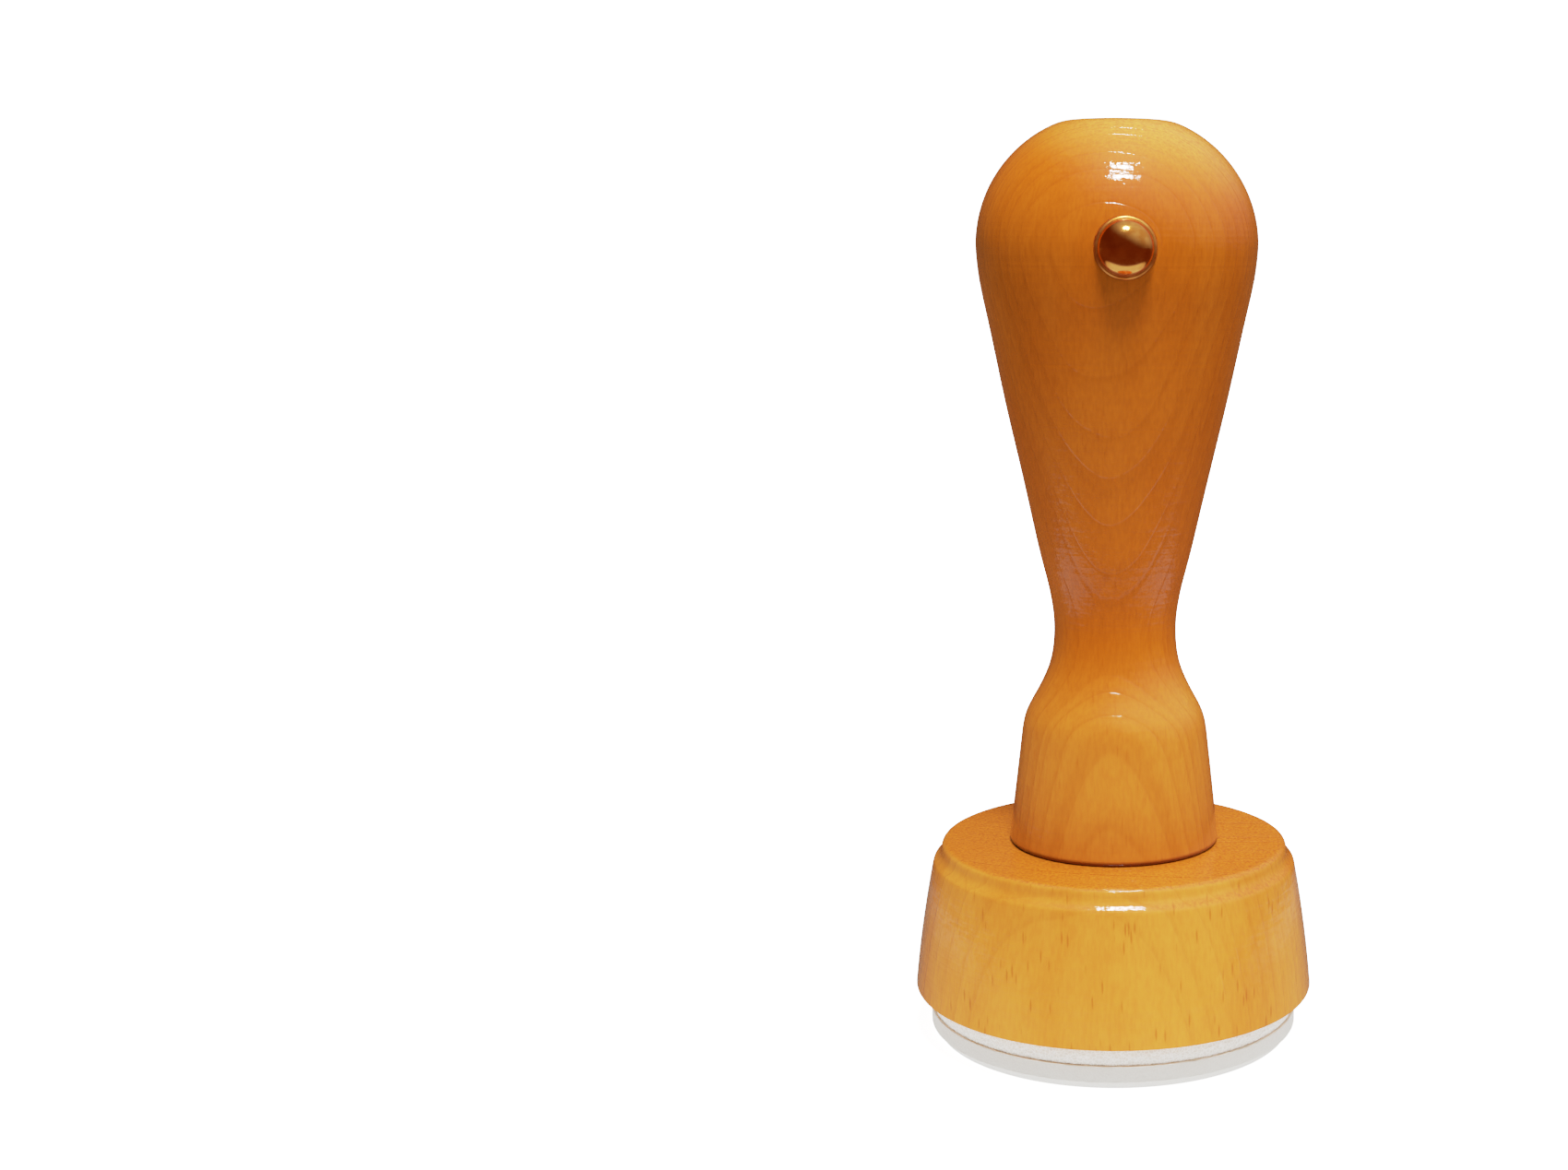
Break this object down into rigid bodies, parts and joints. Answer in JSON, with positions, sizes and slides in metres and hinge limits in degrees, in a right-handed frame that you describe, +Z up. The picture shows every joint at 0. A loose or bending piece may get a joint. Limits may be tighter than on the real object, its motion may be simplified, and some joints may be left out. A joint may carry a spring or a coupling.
{
  "type": "rubber stamp",
  "caption": "Round wooden hand stamp: turned knob handle with a domed brass marker on a tapered round base, over a foam-cushioned rubber die with a plain ring and rosette relief.",
  "frame": {"origin": "centre of the printing face, on the axis of turning; the stamp stands on it", "axes": "+Z up along the handle, -Y towards the brass marker (the front), +X to the right of the print"},
  "size_m": [0.04, 0.04, 0.0905],
  "materials": {
    "handle_beech": "beech, clear gloss lacquer",
    "base_beech": "beech, clear satin lacquer",
    "marker_brass": "polished",
    "steel": "bright zinc plated",
    "adhesive_film": "double-sided adhesive film",
    "foam": "closed-cell foam, cut edge",
    "rubber": "light grey vulcanised rubber, engraved"
  },
  "bodies": {
    "mount": {"handle": "handle_beech", "marker_head": "marker_brass", "marker_nail": "steel", "base": "base_beech", "assembly_screw": "steel", "upper_adhesive_film": "adhesive_film", "cushion_foam": "foam"},
    "die": {"lower_adhesive_film": "adhesive_film", "rubber_die": "rubber"}
  },
  "joints": [
    {"name": "cushion_press", "type": "slide", "parent": "mount", "child": "die", "axis": [0, 0, 1], "range_m": [0, 0.0008], "stiffness_N_per_m": 100000, "deforming": ["cushion_foam"]}
  ]
}
